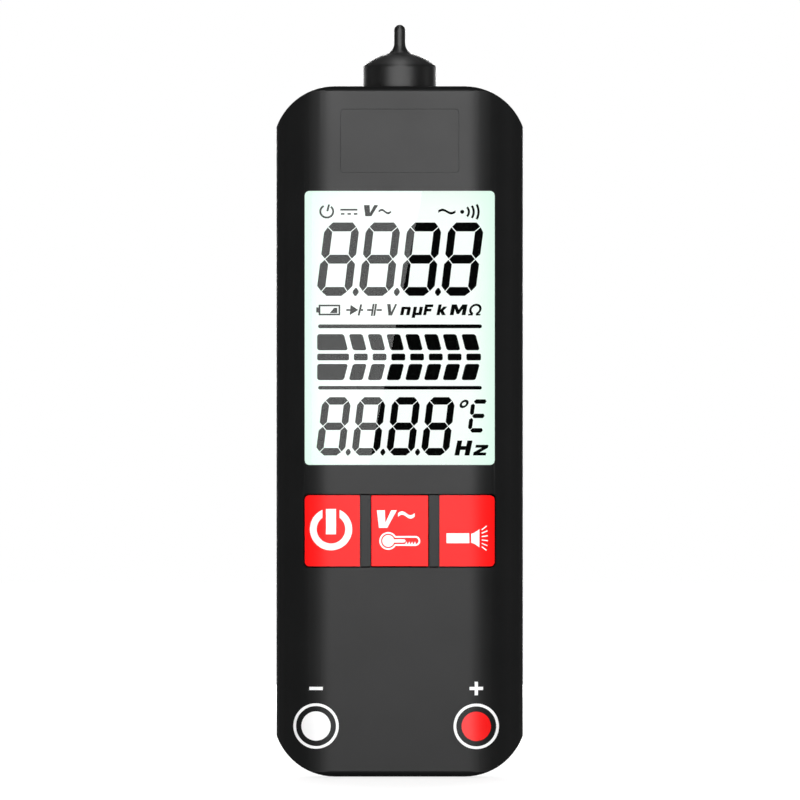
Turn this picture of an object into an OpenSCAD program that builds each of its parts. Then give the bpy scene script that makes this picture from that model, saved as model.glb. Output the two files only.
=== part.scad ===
// Pen shaped voltage tester with a display, three keys and two test lead sockets.
// It stands upright: +Z runs from the socket end to the nose, the front faces -Y.

/* [Body] */
// Width of the body
body_w = 42; // [40:0.5:44]
// Height of the body without the nose
body_h = 117.4; // [114:0.2:122]
// Radius of the four corners of the outline
corner_r = 10.7; // [10.2:0.1:11.2]
// Reach of the corner arcs past the sides, which cut them off
corner_out = 0.7; // [0.4:0.05:1]
// Radius of the two long edges at the front
side_r = 9.5; // [9:0.1:10]
// Radius of the two long edges at the back
back_r = 4.5; // [3.8:0.1:5]
// Radius of the edges at both ends
edge_r = 1; // [0.8:0.1:1.4]
// Thickness of the case walls
wall = 1.5; // [1.4:0.05:1.6]
// Height of the lip that joins the two cases
lip_h = 0.8; // [0.6:0.1:1.2]
// Thickness of that lip
lip_t = 0.7; // [0.6:0.05:0.8]
// Width of the shallow plate place above the display
plate_w = 20.1; // [16:0.1:21]
// Height of the plate place
plate_h = 10.8; // [8:0.2:11.4]
// Distance from the top of the body to the plate place
plate_drop = 3.9; // [3.5:0.1:5]
// Corner radius of the plate place
plate_r = 0.6; // [0.4:0.1:2]
// Depth of the plate place
plate_deep = 0.15; // [0.1:0.05:0.3]

/* [Display] */
// Distance from a side of the body to the window pane
pane_side = 4.85; // [4.5:0.05:5.2]
// Height of the lower edge of the pane above the socket end
pane_low = 53.05; // [52.5:0.05:54]
// Distance from the top of the body to the pane
pane_drop = 17.85; // [17.2:0.05:18.6]
// Corner radius of the pane
pane_r = 0.85; // [0.5:0.05:1.2]
// Reach of the pane's rim behind the case
rim_reach = 1.2; // [1:0.1:1.4]
// Thickness of that rim
rim_t = 0.5; // [0.4:0.05:0.6]
// Distance from the side of the pane to the side of the display glass
glass_inset = 0.25; // [0.2:0.05:0.4]
// Thickness of each of the two display glasses
glass_t = 0.7; // [0.5:0.05:0.9]
// Reach of the glass past the pane at its upper end
glass_over = 1.5; // [1.2:0.1:1.8]
// Height of the contact ledge at the lower end of the front glass
ledge_h = 2.2; // [1.8:0.1:2.4]
// Thickness of the light guide
guide_t = 1; // [0.8:0.1:1.4]
// Width of the bars of the display frame
frame_bar = 1.2; // [1:0.1:1.3]

/* [Keys] */
// Height of the three keys
key_h = 12.1; // [11.5:0.1:12.6]
// Width of the middle key
mid_key_w = 9.7; // [9.3:0.1:10]
// Space from one key to the next
key_space = 1.93; // [1.85:0.01:2.1]
// Height of case between the pane and the keys
key_drop = 5.2; // [4.8:0.1:5.6]
// Running gap round a key
key_gap = 0.22; // [0.15:0.01:0.25]
// Depth of the groove that carries this gap over the bars between the keys
groove_deep = 0.35; // [0.2:0.05:0.5]
// Corner radius at the outer ends of the row
key_r = 0.8; // [0.5:0.1:1.2]
// Reach of the lip that keeps a key in the case
key_lip = 0.65; // [0.5:0.05:0.7]
// Thickness of that lip
key_lip_t = 0.7; // [0.6:0.05:0.8]
// Way that a key goes down
key_travel = 0.3; // [0.2:0.05:0.4]
// Width of a key switch
switch_w = 4.5; // [4:0.1:5]
// Radius of a switch stem
stem_r = 1.2; // [1:0.1:1.4]
// Length of a stem above its switch
stem_show = 0.6; // [0.5:0.05:0.8]
// Length of the post under a key
post_len = 0.8; // [0.6:0.1:1]

/* [Sockets] */
// Distance from a side of the body to a socket axis
socket_side = 7.4; // [7.2:0.05:7.7]
// Radius of the socket bore
bore_r = 2; // [1.95:0.01:2.05]
// Length of the socket bore
bore_len = 17; // [16:0.5:18]
// Wall of the brass socket
socket_wall = 0.6; // [0.5:0.05:0.7]
// Wall of the insulating tower round the socket
tower_wall = 0.55; // [0.5:0.05:0.65]
// Distance from the lower end of the body to the mouth of the socket
socket_sunk = 2; // [1.8:0.1:2.4]
// Radius of the round opening for the shroud of a plug
shroud_r = 4.2; // [4.1:0.05:4.3]
// Wall of the tunnel round that opening
tunnel_wall = 1; // [0.8:0.05:1.1]
// Thickness of the plate that joins the two towers
jack_plate_t = 1.6; // [1.4:0.1:2]
// Thickness of the closed end of a socket
socket_cap = 0.8; // [0.6:0.1:1]
// Width of the solder tail of a socket
tail_w = 1.6; // [1.2:0.1:2]
// Thickness of that tail
tail_t = 0.5; // [0.4:0.05:0.6]

/* [Nose] */
// Radius of the nose
nose_r = 6.2; // [5.9:0.1:6.4]
// Height of the nose from the body to its tip
nose_h = 10.6; // [10.2:0.1:11]
// Radius of the dome of the nose
dome_r = 9.5; // [9.2:0.1:10]
// Height of the dome above the body, with the tip taken away
dome_h = 5.9; // [5.6:0.1:6.2]
// Radius of the shoulder under the dome
shoulder_r = 0.8; // [0.5:0.1:1]
// Radius of the tip
tip_r = 0.95; // [0.85:0.05:1.1]
// Radius of the hollow where the tip leaves the dome
tip_fillet = 1.9; // [1.4:0.1:2.4]
// Reach of the flange that holds the nose
nose_flange = 1.1; // [0.9:0.1:1.2]
// Thickness of that flange
nose_flange_t = 1.4; // [1.2:0.1:1.6]
// Wall of the nose
nose_wall = 1.4; // [1.2:0.1:1.6]
// Radius of the sensing rod
rod_r = 0.8; // [0.6:0.05:0.9]
// Thickness of the plate of the sensing rod
rod_plate_t = 0.5; // [0.4:0.05:0.7]
// Radius of the torch lamp
lamp_r = 1.5; // [1.4:0.05:1.6]
// Height of the torch lamp
lamp_h = 4.6; // [4.2:0.1:5]
// Space between the flange of the nose and the torch lamp
lamp_gap = 0.2; // [0.15:0.05:0.3]

/* [Battery] */
// Radius of an AAA cell
cell_r = 5.1; // [5:0.05:5.25]
// Length of an AAA cell with its button
cell_len = 44.3; // [43.8:0.1:44.5]
// Radius of the button
button_r = 1.9; // [1.7:0.1:1.95]
// Height of the button
button_h = 1; // [0.8:0.1:1.2]
// Space between the two cells
cell_space = 1; // [0.6:0.1:1.2]
// Height of a battery spring between its plate and the cell
spring_h = 2.6; // [2.4:0.1:3]
// Radius of the spring wire
wire_r = 0.25; // [0.2:0.01:0.28]
// Thickness of a contact plate
contact_t = 0.3; // [0.25:0.05:0.4]
// Height of the pressed button of a contact plate
dimple_h = 0.35; // [0.25:0.05:0.5]
// Wall of the battery well
well_wall = 1; // [0.8:0.1:1.1]
// Thickness of the battery door
door_t = 1.4; // [1.2:0.1:1.6]
// Gap round the battery door
door_gap = 0.15; // [0.1:0.01:0.2]
// Corner radius of the battery door
door_r = 1.5; // [1:0.1:2]
// Length of the door tongues under the case
tongue_len = 1.7; // [1.4:0.1:1.9]
// Thickness of the door tongues
tongue_t = 1.25; // [1:0.05:1.3]
// Number of thumb ribs on the door
rib_count = 5; // [3:1:6]

/* [Board] */
// Thickness of the main board
board_t = 0.9; // [0.7:0.1:1.2]
// Space between the board and the floor of the well
board_space = 0.32; // [0.2:0.02:0.5]
// Radius of the buzzer
buzzer_r = 6; // [5.5:0.1:6.3]
// Height of the buzzer
buzzer_h = 8; // [7:0.1:8.6]
// Width of the measuring chip
chip_w = 10; // [8:0.5:11]
// Thickness of the measuring chip
chip_t = 1.4; // [1:0.1:1.8]

/* [Fasteners] */
// Radius of the core of a case screw
screw_r = 0.95; // [0.85:0.05:1]
// Length of a case screw under its head
screw_len = 10; // [9:0.5:11]
// Radius of a screw head
head_r = 1.85; // [1.7:0.05:1.9]
// Height of a screw head
head_h = 1.3; // [1.1:0.1:1.4]
// Depth of the screw heads in the back
head_sunk = 3; // [2.8:0.1:3.4]
// Outer radius of a screw boss
boss_r = 3; // [2.8:0.05:3.1]
// Radius of the part of a boss that goes through the board
neck_r = 2.2; // [2:0.05:2.4]

/* [Hidden] */
$fn = 48;

// Overrun of every cut, and the small gap of pieces that rest on each other
over = 1;
fit = 0.05;

// Distance of the centres of the bowed end edges from the faces, in edge radii
bow_share = 1.15;

// Widths
side_x = body_w / 2;
flat_half = side_x - side_r;
end_half = side_x + corner_out - corner_r;
inner_x = side_x - wall;
pane_w = body_w - 2 * pane_side;
glass_w = pane_w - 2 * glass_inset;
side_key_w = (pane_w - mid_key_w) / 2 - key_space;

// Depths, counted from the front face
function skin_depth(t, x) =
    abs(x) <= flat_half ? t : side_r - sqrt(pow(side_r - t, 2) - pow(abs(x) - flat_half, 2));
glass_deep = skin_depth(wall + rim_t, glass_w / 2) + 2 * fit;
glass_back = glass_deep + 2 * glass_t + fit;
guide_deep = glass_back + fit;
board_deep = guide_deep + guide_t + fit;
floor_t = 0.8;
floor_deep = board_deep + board_t + board_space;
cell_gap = 0.15;
cell_deep = floor_deep + floor_t + cell_gap + cell_r;
body_d = cell_deep + cell_r + cell_gap + door_t;
half_d = body_d / 2;
cell_y = cell_deep - half_d;
back_in = half_d - wall;
board_y = board_deep - half_d;
board_back = board_y + board_t;

// Heights of the display and the keys
pane_z1 = body_h - pane_drop;
pane_z0 = pane_low;
glass_z1 = pane_z1 + glass_over;
ledge_gap = 0.4;
glass_z0 = pane_z0 - ledge_gap - ledge_h;
frame_z0 = glass_z0 - frame_bar;
frame_z1 = glass_z1 + frame_bar;
key_z1 = pane_z0 - key_drop;
key_z0 = key_z1 - key_h;
side_key_x = mid_key_w / 2 + key_space + side_key_w / 2;

// Heights of the socket end
socket_x = side_x - socket_side;
socket_r = bore_r + socket_wall;
tower_r = socket_r + fit + tower_wall;
bore_z1 = socket_sunk + bore_len;
jack_z0 = bore_z1 - jack_plate_t / 2;
jack_z1 = jack_z0 + jack_plate_t;
cap_z1 = bore_z1 + socket_cap;
tunnel_r = shroud_r + tunnel_wall;
tunnel_gap = 0.1;
board_z0 = jack_z1 + 6 * fit;
tail_rise = 1.9;

// Battery well
well_gap = 0.3;
cell_x = cell_r + cell_space / 2;
well_x = cell_x + cell_r + 4 * fit;
well_out = well_x + well_wall;
well_z0 = max(jack_z1, cap_z1) + well_gap;
well_in0 = well_z0 + well_wall;
right_z0 = well_in0 + fit + contact_t + dimple_h;
left_z0 = well_in0 + fit + contact_t + spring_h;
bridge_z = left_z0 + cell_len + dimple_h;
well_in1 = bridge_z + contact_t + fit;
well_z1 = well_in1 + well_wall;
door_x = well_x + 0.95 * well_wall;
door_seat = 0.6 * well_wall;
door_z0 = well_z0 + 0.2 * well_wall;
door_z1 = well_in1 + door_seat;
tongue_y = half_d - wall - door_gap - tongue_t;
tongue_swing = sqrt(pow(half_d - tongue_y, 2) + pow(tongue_len, 2));
well_low_y = half_d - tongue_swing - door_gap;
tongue_x1 = well_x - 4 * fit;
tongue_w = 1.6;
contact_low_y = well_low_y - fit;

// Bosses of the case screws, one pair under the keys and one above the display
boss_gap = 0.2;
low_boss = [well_out + boss_r + 2 * fit, key_z0 - key_gap - key_lip - boss_r - boss_gap];
top_boss = [inner_x - boss_r - 1.3 * wall, frame_z1 + boss_gap + boss_r];
bosses = [
    [-low_boss[0], low_boss[1]], [low_boss[0], low_boss[1]],
    [-top_boss[0], top_boss[1]], [top_boss[0], top_boss[1]]
];
pilot_r = screw_r + fit;
pilot_deep = 2.4 * wall;

// Nose
dome_z = body_h + dome_h - dome_r;
tip_z = body_h + nose_h - tip_r;
nose_gap = 0.1;
flange_z1 = body_h - wall - nose_gap;
flange_z0 = flange_z1 - nose_flange_t;
cradle_t = 1.2;
cradle_z1 = flange_z0 - nose_gap;
cradle_z0 = cradle_z1 - cradle_t;
board_z1 = cradle_z0 - 2 * cradle_t;
hollow_r = nose_r - nose_wall;
collar_r = 1.15 * lamp_r;
lamp_x = nose_r + nose_flange + lamp_gap + collar_r;
rod_hole_r = rod_r + 0.4 * nose_wall;
hollow_z1 = body_h + 0.7 * nose_wall;
rod_hole_z1 = body_h + dome_h - 1.1 * nose_wall;

// Half the width of the board at its front face, held inside the case
board_half = flat_half + sqrt(pow(side_r - wall, 2) - pow(side_r - board_deep, 2)) - 6 * fit;

module block(x0, x1, y0, y1, z0, z1) {
    translate([x0, y0, z0]) cube([x1 - x0, y1 - y0, z1 - z0]);
}

module rod_z(x, y, r, z0, z1) {
    translate([x, y, z0]) cylinder(r = r, h = z1 - z0);
}

module rod_y(x, z, r, y0, y1) {
    translate([x, y1, z]) rotate([90, 0, 0]) cylinder(r = r, h = y1 - y0);
}

// Stands a drawing in X and Z up and gives it the depth from y0 to y1
module along_y(y0, y1) {
    translate([0, y1, 0]) rotate([90, 0, 0]) linear_extrude(y1 - y0) children();
}

module along_z(z0, z1) {
    translate([0, 0, z0]) linear_extrude(z1 - z0) children();
}

// Rectangle from corner to corner with round corners
module round_rect(x0, x1, y0, y1, r) {
    translate([x0 + r, y0]) square([x1 - x0 - 2 * r, y1 - y0]);
    translate([x0, y0 + r]) square([x1 - x0, y1 - y0 - 2 * r]);
    for (x = [x0 + r, x1 - r], y = [y0 + r, y1 - r]) translate([x, y]) circle(r);
}

// Rectangle with bowed corners that leave its sides at a slight angle, for the end edges
module bowed_rect(x0, x1, y0, y1, r) {
    c = bow_share * r;
    bow_r = sqrt(pow(c, 2) + pow(c - r, 2));
    intersection() {
        translate([x0, y0]) square([x1 - x0, y1 - y0]);
        union() {
            translate([x0 + c, y0 - over]) square([x1 - x0 - 2 * c, y1 - y0 + 2 * over]);
            translate([x0 - over, y0 + c]) square([x1 - x0 + 2 * over, y1 - y0 - 2 * c]);
            for (x = [x0 + c, x1 - c], y = [y0 + c, y1 - c]) translate([x, y]) circle(bow_r);
        }
    }
}

// Cross-section of the body, a distance t inside its skin
module section(t) {
    turn_y = -half_d + side_r;
    translate([-flat_half, -half_d + t]) square([2 * flat_half, body_d - 2 * t]);
    translate([-side_x + t, turn_y]) square([body_w - 2 * t, body_d - side_r - back_r]);
    translate([-side_x + back_r, 0]) square([body_w - 2 * back_r, half_d - t]);
    for (s = [-1, 1]) {
        translate([s * (side_x - back_r), half_d - back_r]) circle(back_r - t);
        intersection() {
            translate([s * flat_half, turn_y]) circle(side_r - t);
            translate([-side_x, -half_d]) square([body_w, side_r]);
        }
    }
}

// Outline of the body seen from the front, a distance t inside its edge, uncut at the sides
module outline(t) {
    reach = end_half + corner_r - t;
    round_rect(-reach, reach, t, body_h - t, corner_r - t);
}

// One rounded corner of the body, from a turn of 0 at the top right
module end_corner(turn) {
    x = turn == 0 || turn == 3 ? end_half : -end_half;
    z = turn < 2 ? body_h - corner_r : corner_r;
    translate([x, 0, z]) rotate([90, 0, 0]) rotate([0, 0, 90 * turn]) rotate_extrude(angle = 90)
        intersection() {
            bowed_rect(-corner_r, corner_r, -half_d, half_d, edge_r);
            translate([0, -half_d - over]) square([corner_r + over, body_d + 2 * over]);
        }
}

// The whole body with its edges rounded at both ends
module body_blank() {
    reach = end_half + corner_r;
    intersection() {
        along_z(0, body_h) section(0);
        union() {
            block(-reach, reach, -half_d, half_d, corner_r, body_h - corner_r);
            translate([-end_half, 0, 0]) rotate([90, 0, 90]) linear_extrude(2 * end_half)
                bowed_rect(-half_d, half_d, 0, body_h, edge_r);
            for (turn = [0:3]) end_corner(turn);
        }
    }
}

// Everything inside the skin, from y0 to y1
module inside(t, y0, y1) {
    intersection() {
        along_z(0, body_h) section(t);
        along_y(y0, y1) outline(t);
    }
}

// Shell that follows the front, from depth t0 to depth t1, behind a drawing
module skin(t0, t1) {
    intersection() {
        along_z(0, body_h) difference() {
            section(t0);
            section(t1);
        }
        along_y(-half_d, -half_d + side_r) children();
    }
}

module front_half() {
    block(-side_x - over, side_x + over, -half_d - over, 0, -over, body_h + over);
}

module rear_half() {
    block(-side_x - over, side_x + over, 0, half_d + over, -over, body_h + over);
}

module pane_outline(grow) {
    round_rect(-pane_w / 2 - grow, pane_w / 2 + grow, pane_z0 - grow, pane_z1 + grow, pane_r);
}

// Drawing of one key: -1 is the left one, 0 the middle one, 1 the right one
module key_outline(place, grow) {
    w = place == 0 ? mid_key_w : side_key_w;
    x = place * side_key_x;
    x0 = x - w / 2 - grow;
    x1 = x + w / 2 + grow;
    if (place == 0) {
        translate([x0, key_z0 - grow]) square([x1 - x0, key_h + 2 * grow]);
    } else {
        round_rect(x0, x1, key_z0 - grow, key_z1 + grow, key_r);
        translate([place < 0 ? x1 - w / 2 : x0, key_z0 - grow]) square([w / 2, key_h + 2 * grow]);
    }
}

// Groove above and below the bars, from one key opening to the next
module row_groove() {
    bar_x = (mid_key_w + key_space) / 2;
    along_y(-half_d - over, -half_d + groove_deep)
        for (x = [-bar_x, bar_x], z = [key_z0 - key_gap, key_z1])
            translate([x - key_space, z]) square([2 * key_space, key_gap]);
}

// Half tunnels for the shrouds of the plugs, cut and filled on both halves
module tunnels(r, z0, z1) {
    for (s = [-1, 1]) rod_z(s * socket_x, 0, r, z0, z1);
}

// Openings at both ends that each half shares
module end_cuts() {
    tunnels(shroud_r, -over, jack_z0 + over);
    rod_z(0, 0, nose_r + nose_gap, flange_z1, body_h + over);
    rod_z(0, 0, nose_r - nose_wall, cradle_z0 - over, body_h + over);
    rod_z(lamp_x, 0, lamp_r + nose_gap, body_h - lamp_h, body_h + over);
}

// Ring that holds the flange of the nose from below
module cradle() {
    along_z(cradle_z0, cradle_z1) translate([-nose_r - nose_flange, -half_d + wall / 2])
        square([2 * (nose_r + nose_flange), body_d - wall]);
}

module front_boss(x, z) {
    rod_y(x, z, boss_r, -half_d + wall / 2, board_y);
    rod_y(x, z, neck_r, -half_d + wall / 2, -fit);
}

module front_case() {
    color("#26272a") difference() {
        union() {
            difference() {
                intersection() {
                    body_blank();
                    front_half();
                }
                inside(wall, -half_d, over);
            }
            intersection() {
                inside(wall / 2, -half_d, -fit);
                union() {
                    for (p = bosses) front_boss(p[0], p[1]);
                    tunnels(tunnel_r, 0, jack_z0 - tunnel_gap);
                    cradle();
                }
            }
        }
        difference() {
            inside(wall - lip_t - fit, -lip_h - fit, fit);
            inside(wall + fit, -lip_h - over, over);
        }
        skin(-over, wall + over) pane_outline(fit);
        for (place = [-1, 0, 1]) skin(-over, wall + over) key_outline(place, key_gap);
        row_groove();
        end_cuts();
        for (p = bosses) rod_y(p[0], p[1], pilot_r, -half_d + pilot_deep, over);
        along_y(-half_d - over, -half_d + plate_deep)
            round_rect(-plate_w / 2, plate_w / 2, body_h - plate_drop - plate_h,
                body_h - plate_drop, plate_r);
    }
}

module rear_boss(x, z) {
    rod_y(x, z, boss_r, fit, half_d - wall / 2);
}

// Walls and floor that hold the two cells
module well() {
    difference() {
        block(-well_out, well_out, floor_deep - half_d, half_d - wall / 2, well_z0, well_z1);
        block(-well_x, well_x, floor_deep + floor_t - half_d, half_d, well_in0, well_in1);
        block(-well_x, well_x, well_low_y, half_d, well_z0 - over, well_in0 + over);
        door_room();
    }
}

module door_room() {
    along_y(back_in, half_d + over) round_rect(-door_x - door_gap, door_x + door_gap,
        door_z0 - door_gap, door_z1 + door_gap, door_r);
}

// Nail scoop in the case above the door
module nail_scoop() {
    scoop_r = 2.2 * wall;
    rod_y(0, door_z1, scoop_r, back_in + wall / 2, half_d + over);
}

module sound_holes() {
    hole_r = 0.4 * wall;
    for (a = [0:60:359]) rod_y(buzzer_x + 2 * wall * cos(a), buzzer_z + 2 * wall * sin(a),
        hole_r, back_in - over, half_d + over);
    rod_y(buzzer_x, buzzer_z, hole_r, back_in - over, half_d + over);
}

buzzer_x = -(buzzer_r + 1.3 * wall);
buzzer_z = well_z1 + buzzer_r + 1.2 * wall;

module sound_ring() {
    difference() {
        rod_y(buzzer_x, buzzer_z, buzzer_r + wall, back_in - wall, half_d - wall / 2);
        rod_y(buzzer_x, buzzer_z, buzzer_r + 2 * fit, back_in - 2 * wall, back_in);
    }
}

module rear_case() {
    color("#232427") difference() {
        union() {
            difference() {
                union() {
                    intersection() {
                        body_blank();
                        rear_half();
                    }
                    inside(wall - lip_t, -lip_h, fit);
                }
                inside(wall, -lip_h - over, half_d);
                door_room();
            }
            intersection() {
                inside(wall / 2, -half_d, half_d);
                union() {
                    for (p = bosses) rear_boss(p[0], p[1]);
                    well();
                    sound_ring();
                    intersection() {
                        rear_half();
                        union() {
                            tunnels(tunnel_r, 0, jack_z0 - tunnel_gap);
                            cradle();
                        }
                    }
                }
            }
        }
        end_cuts();
        nail_scoop();
        sound_holes();
        for (p = bosses) {
            rod_y(p[0], p[1], screw_r + 4 * fit, -over, half_d + over);
            rod_y(p[0], p[1], head_r + 4 * fit, half_d - head_sunk, half_d + over);
        }
    }
}

module battery_door() {
    rib = 0.35 * door_t;
    scoop_z1 = door_z1 - 2 * door_t;
    scoop_h = (rib_count * 2 + 1) * rib * 2;
    color("#232427") {
        difference() {
            along_y(half_d - door_t, half_d) round_rect(-door_x, door_x, door_z0, door_z1, door_r);
            block(-well_x / 2, well_x / 2, half_d - rib, half_d + over, scoop_z1 - scoop_h, scoop_z1);
        }
        for (i = [1:rib_count]) block(-well_x / 2, well_x / 2, half_d - rib - fit, half_d,
            scoop_z1 - 4 * i * rib, scoop_z1 - (4 * i - 2) * rib);
        for (s = [-1, 1]) tongue(s);
        block(-well_x / 3, well_x / 3, half_d - 2 * door_t - fit, half_d - door_t + fit,
            well_in1 - 2 * fit - door_t / 2, well_in1 - 2 * fit);
    }
}

// Tongue that holds the lower end of the door under the case
module tongue(s) {
    x0 = s < 0 ? -tongue_x1 : tongue_x1 - tongue_w;
    foot_z = door_z0 + tongue_t;
    block(x0, x0 + tongue_w, tongue_y, tongue_y + tongue_t, door_z0 - tongue_len, foot_z);
    block(x0, x0 + tongue_w, tongue_y, half_d - door_t + fit, door_z0 + 2 * fit, foot_z);
}

module case_screws() {
    slot = 0.3 * head_r;
    seat_y = half_d - head_sunk;
    color("silver") for (p = bosses) difference() {
        union() {
            rod_y(p[0], p[1], screw_r, seat_y + fit - screw_len, seat_y + 2 * fit);
            rod_y(p[0], p[1], head_r, seat_y + fit, seat_y + fit + head_h);
        }
        for (a = [0, 90]) translate([p[0], seat_y + head_h, p[1]]) rotate([0, a, 0])
            cube([1.2 * head_r, head_h, slot], center = true);
    }
}

module window_pane() {
    color("white", 0.35) {
        skin(0, wall + 2 * fit) pane_outline(0);
        skin(wall + fit, wall + rim_t) pane_outline(rim_reach);
    }
}

module front_glass() {
    color("#d8e6de") block(-glass_w / 2, glass_w / 2, glass_deep - half_d,
        glass_deep + glass_t - half_d, glass_z0, glass_z1);
}

module rear_glass() {
    color("#c9d8cf") block(-glass_w / 2, glass_w / 2, glass_back - glass_t - half_d,
        glass_back - half_d, glass_z0 + ledge_h, glass_z1);
}

module display_frame() {
    half = glass_w / 2;
    color("white") intersection() {
        along_z(0, body_h) section(wall + rim_t + 2 * fit);
        difference() {
            block(-half - frame_bar, half + frame_bar, -half_d, board_y - fit, frame_z0, frame_z1);
            block(-half - fit, half + fit, -half_d - over, board_y + over,
                glass_z0 - fit, glass_z1 + fit);
        }
    }
}

module light_guide() {
    half = glass_w / 2 - 6 * fit;
    color("white") block(-half, half, guide_deep - half_d, guide_deep + guide_t - half_d,
        glass_z0 + ledge_h + 6 * fit, glass_z1 - 6 * fit);
}

module contact_strip() {
    half = glass_w / 2 - ledge_h;
    color("#d98fa0") block(-half, half, glass_deep + glass_t + fit - half_d, board_y - fit,
        glass_z0 + 3 * fit, glass_z0 + ledge_h - 3 * fit);
}

module main_board() {
    corner = 1.2 * board_t;
    color("darkgreen") difference() {
        along_y(board_y, board_back) round_rect(-board_half, board_half, board_z0, board_z1, corner);
        for (p = bosses) rod_y(p[0], p[1], neck_r + 4 * fit, board_y - over, board_back + over);
    }
}

key_under = wall + 2 * fit + key_lip_t;
stem_deep = key_under + post_len + fit;
switch_deep = stem_deep + stem_show;
stem_hidden = 0.8;

// Key cap: the part in the case opening, its lip inside and the post on the switch
module key_cap(place) {
    skin(0, key_under) key_outline(place, 0);
    skin(wall + 2 * fit, key_under) key_outline(place, key_lip);
    rod_y(place * side_key_x, (key_z0 + key_z1) / 2, 1.2 * stem_r,
        key_under - fit - half_d, key_under + post_len - half_d);
}

module power_key() { color("#ff1a1a") key_cap(-1); }

module alert_key() { color("#ff1a1a") key_cap(0); }

module select_key() { color("#ff1a1a") key_cap(1); }

module stem(place) {
    rod_y(place * side_key_x, (key_z0 + key_z1) / 2, stem_r,
        stem_deep - half_d, switch_deep + stem_hidden - half_d);
}

module power_stem() { color("#3b3b3d") stem(-1); }

module alert_stem() { color("#3b3b3d") stem(0); }

module select_stem() { color("#3b3b3d") stem(1); }

module key_switches() {
    half = switch_w / 2;
    z = (key_z0 + key_z1) / 2;
    color("silver") for (place = [-1, 0, 1]) difference() {
        block(place * side_key_x - half, place * side_key_x + half,
            switch_deep - half_d, board_y - fit, z - half, z + half);
        rod_y(place * side_key_x, z, stem_r + fit, switch_deep - half_d - over,
            switch_deep + stem_hidden + key_travel + 2 * fit - half_d);
    }
}

module jack_block() {
    edge = board_half - 2 * fit;
    color("#1c1c1e") difference() {
        union() {
            block(-edge, edge, -tunnel_r + wall / 2, tunnel_r - wall / 2, jack_z0, jack_z1);
            for (s = [-1, 1]) rod_z(s * socket_x, 0, tower_r, socket_sunk - tower_wall, jack_z0 + fit);
        }
        for (s = [-1, 1]) {
            rod_z(s * socket_x, 0, socket_r + fit, socket_sunk, jack_z1 + over);
            rod_z(s * socket_x, 0, bore_r + fit, 0, socket_sunk + fit);
        }
    }
}

// Brass socket with its bore open downwards and a solder tail to the board
module socket(s) {
    x = s * socket_x;
    tail_z1 = cap_z1 + tail_rise;
    difference() {
        rod_z(x, 0, socket_r, socket_sunk + fit, cap_z1);
        rod_z(x, 0, bore_r, socket_sunk - over, bore_z1);
    }
    block(x - tail_w / 2, x + tail_w / 2, -tail_t / 2, tail_t / 2, cap_z1 - fit, tail_z1);
    block(x - tail_w / 2, x + tail_w / 2, board_back + fit, tail_t / 2, tail_z1 - tail_t, tail_z1);
}

module common_socket() { color("#c9a24a") socket(-1); }

module input_socket() { color("#c9a24a") socket(1); }

// AAA cell, standing on its flat end where up is 1 and on its button where up is -1
module cell(x, z0, up) {
    can_len = cell_len - button_h;
    can_z0 = up > 0 ? z0 : z0 + button_h;
    rod_z(x, cell_y, cell_r, can_z0, can_z0 + can_len);
    rod_z(x, cell_y, button_r, z0 + (up > 0 ? can_len - fit : 0),
        z0 + (up > 0 ? cell_len : button_h + fit));
}

module left_cell() { color("#b5893c") cell(-cell_x, left_z0, 1); }

module right_cell() { color("#b5893c") cell(cell_x, right_z0, -1); }

dimple_r = 1.3;
contact_half = 0.75 * cell_r;

module contact_plate(x0, x1, z0) {
    block(x0, x1, floor_deep + floor_t + fit - half_d, contact_low_y, z0, z0 + contact_t);
}

module bridge_contact() {
    color("silver") {
        contact_plate(-cell_x - contact_half, cell_x + contact_half, bridge_z);
        rod_z(-cell_x, cell_y, dimple_r, bridge_z + fit - dimple_h, bridge_z + fit);
    }
}

module plus_contact() {
    z1 = well_in0 + fit + contact_t;
    color("silver") {
        contact_plate(cell_x - contact_half, cell_x + contact_half, well_in0 + fit);
        rod_z(cell_x, cell_y, dimple_r, z1 - fit, z1 + dimple_h - fit);
    }
}

module minus_contact() {
    color("silver") contact_plate(-cell_x - contact_half, -cell_x + contact_half, well_in0 + fit);
}

// Ring of wire points at turn angle a, with the coil narrowing from r0 to r1 over height h
spring_turns = 2.5;
ring_steps = 6;
turn_steps = 20;
spring_r0 = 0.66 * cell_r;
spring_r1 = 0.36 * cell_r;
function wire_ring(i, h) =
    let (s = i / (spring_turns * turn_steps), a = 360 * i / turn_steps,
        r = spring_r0 + (spring_r1 - spring_r0) * s, z = wire_r + (h - 2 * wire_r) * s)
    [for (k = [0:ring_steps - 1]) let (b = 360 * k / ring_steps, q = r + wire_r * cos(b))
        [q * cos(a), q * sin(a), z + wire_r * sin(b)]];

module coil(h) {
    rings = spring_turns * turn_steps;
    points = [for (i = [0:rings]) each wire_ring(i, h)];
    sides = [for (i = [0:rings - 1], k = [0:ring_steps - 1])
        let (a = i * ring_steps + k, b = i * ring_steps + (k + 1) % ring_steps)
        each [[a, a + ring_steps, b], [b, a + ring_steps, b + ring_steps]]];
    first = [for (k = [0:ring_steps - 1]) k];
    last = [for (k = [ring_steps - 1:-1:0]) rings * ring_steps + k];
    polyhedron(points, concat(sides, [first, last]));
}

module battery_springs() {
    free_h = spring_h - 2 * fit;
    color("silver") {
        translate([-cell_x, cell_y, left_z0 - spring_h + fit]) coil(free_h);
        translate([cell_x, cell_y, bridge_z - fit]) mirror([0, 0, 1]) coil(free_h);
    }
}

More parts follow.
